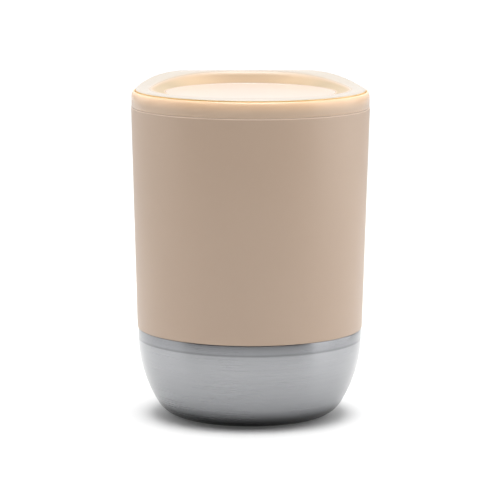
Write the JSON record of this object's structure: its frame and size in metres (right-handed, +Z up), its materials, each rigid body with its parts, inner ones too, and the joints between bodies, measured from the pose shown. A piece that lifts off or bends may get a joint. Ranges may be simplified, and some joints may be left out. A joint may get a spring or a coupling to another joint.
{
  "type": "insulated drinking tumbler",
  "caption": "Insulated steel drinking cup with a tapered moulded sleeve, a bare rounded steel base and a push-in lid whose dished top twists to open.",
  "frame": {"origin": "centre of the foot, on the surface that the tumbler stands on", "axes": "+Z up along the cup's axis, +Y towards the raised side of the closed lid top, where its drinking slot is"},
  "size_m": [0.084, 0.084, 0.1196],
  "materials": {
    "brushed_steel": "satin, brushed around the axis",
    "sleeve_plastic": "matte, fine satin",
    "lid_plastic": "matte, fine satin",
    "pad_rubber": "matte",
    "silicone": "satin",
    "seal_metal": "dull",
    "getter_metal": "dull",
    "clip_steel": "plain"
  },
  "bodies": {
    "cup": {"base_bowl": "brushed_steel", "outer_shell": "brushed_steel", "inner_liner": "brushed_steel", "sleeve": "sleeve_plastic", "foot_pad": "pad_rubber", "vacuum_seal": "seal_metal", "getter": "getter_metal"},
    "lid": {"lid_base": "lid_plastic", "plug_gasket": "silicone", "port_grommet": "silicone"},
    "top": {"lid_top": "lid_plastic", "hub_oring": "silicone", "hub_clip": "clip_steel"}
  },
  "joints": [
    {"name": "lid_lift", "type": "slide", "parent": "cup", "child": "lid", "axis": [0, 0, 1], "range_m": [0, 0.12]},
    {"name": "top_turn", "type": "hinge", "parent": "lid", "child": "top", "pos_m": [0, 0, 0.11], "axis": [0, 0, 1], "range_deg": [0, 75]}
  ]
}
